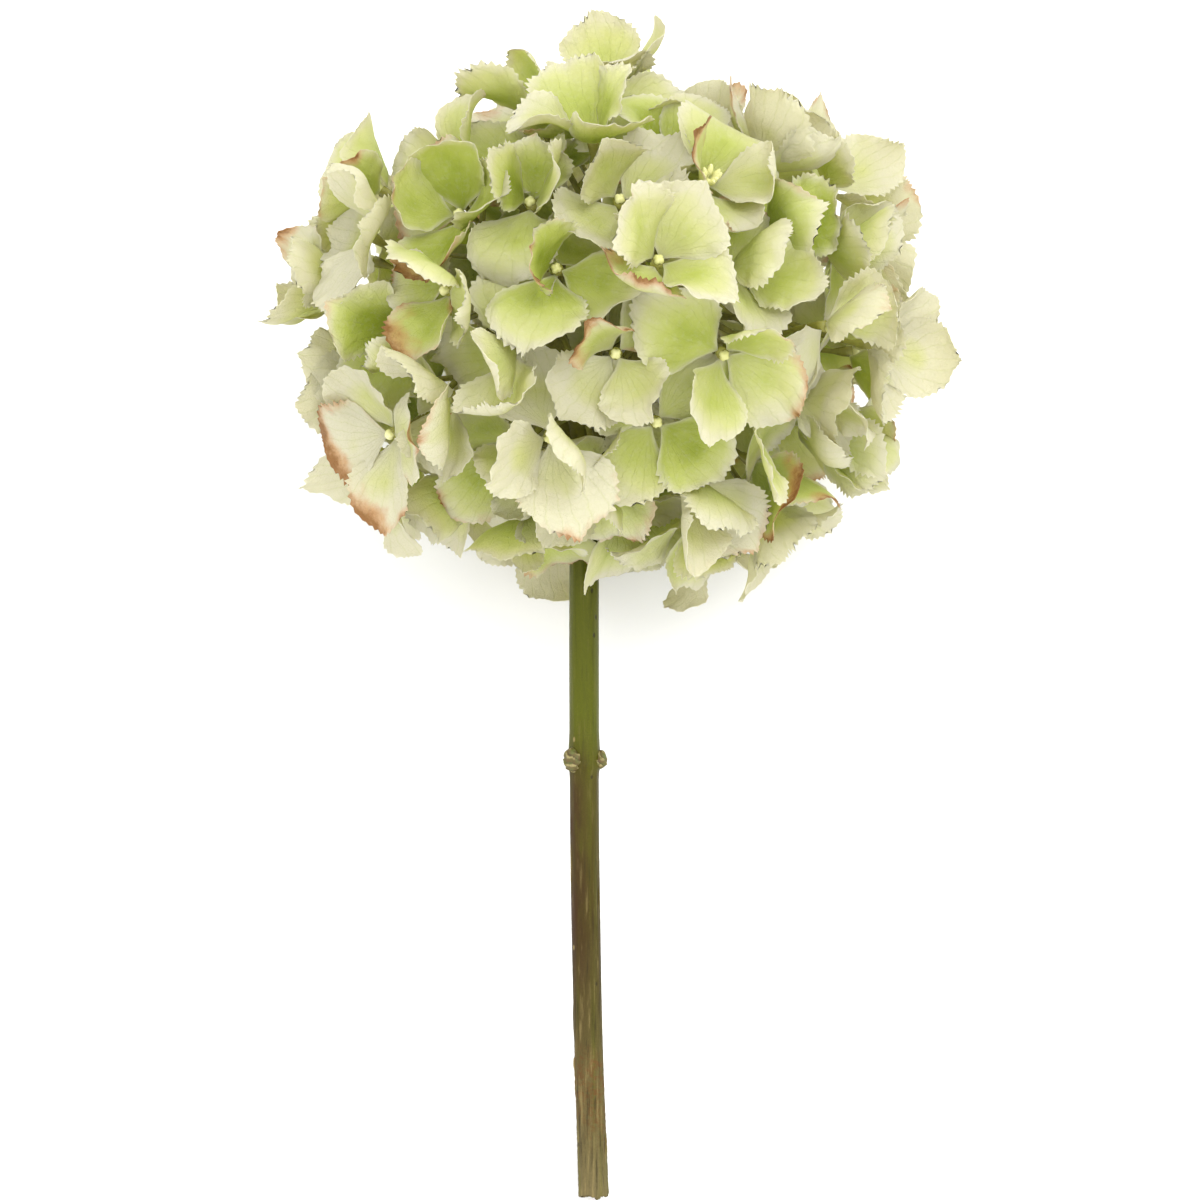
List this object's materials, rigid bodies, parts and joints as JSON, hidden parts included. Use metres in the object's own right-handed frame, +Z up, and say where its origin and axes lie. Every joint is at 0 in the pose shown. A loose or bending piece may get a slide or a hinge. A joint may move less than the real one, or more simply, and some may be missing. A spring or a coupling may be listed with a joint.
{
  "type": "cut hydrangea",
  "caption": "A cut mophead hydrangea lying on its side: a round head of four-petalled pale green and cream florets with brown-pink edges on one woody stem with two buds.",
  "frame": {"origin": "on the surface the flower lies on, under the middle of its bounding box", "axes": "+Z is up; +Y runs along the ground from the cut end of the stem towards the flower head; +X is across the stem"},
  "size_m": [0.1874, 0.3146, 0.1667],
  "materials": {
    "petal": "satin",
    "ray": "satin",
    "stem": "satin",
    "bud": "matte"
  },
  "bodies": {
    "root": {"stem": "stem", "bud_left": "bud", "bud_right": "bud", "ray_1": "ray", "ray_2": "ray", "ray_3": "ray", "ray_4": "ray", "ray_5": "ray", "ray_6": "ray", "ray_7": "ray", "floret_pair_01": "petal", "floret_pair_02": "petal", "floret_pair_03": "petal", "floret_pair_04": "petal", "floret_pair_05": "petal", "floret_pair_06": "petal", "floret_pair_07": "petal", "floret_pair_08": "petal", "floret_pair_09": "petal", "floret_pair_10": "petal", "floret_pair_11": "petal", "floret_pair_12": "petal", "floret_pair_13": "petal", "floret_pair_14": "petal", "floret_pair_15": "petal", "floret_pair_16": "petal", "floret_pair_17": "petal", "floret_pair_18": "petal", "floret_pair_19": "petal", "floret_pair_20": "petal", "floret_pair_21": "petal", "floret_pair_22": "petal", "floret_pair_23": "petal", "floret_pair_24": "petal", "floret_pair_25": "petal", "floret_pair_26": "petal", "floret_pair_27": "petal", "floret_pair_28": "petal", "floret_pair_29": "petal", "floret_pair_30": "petal", "floret_pair_31": "petal", "floret_pair_32": "petal", "floret_pair_33": "petal", "floret_pair_34": "petal", "floret_pair_35": "petal", "floret_pair_36": "petal", "floret_pair_37": "petal", "floret_pair_38": "petal", "floret_pair_39": "petal", "floret_pair_40": "petal", "floret_pair_41": "petal", "floret_pair_42": "petal", "floret_pair_43": "petal", "floret_pair_44": "petal", "floret_pair_45": "petal", "floret_pair_46": "petal"}
  },
  "joints": []
}
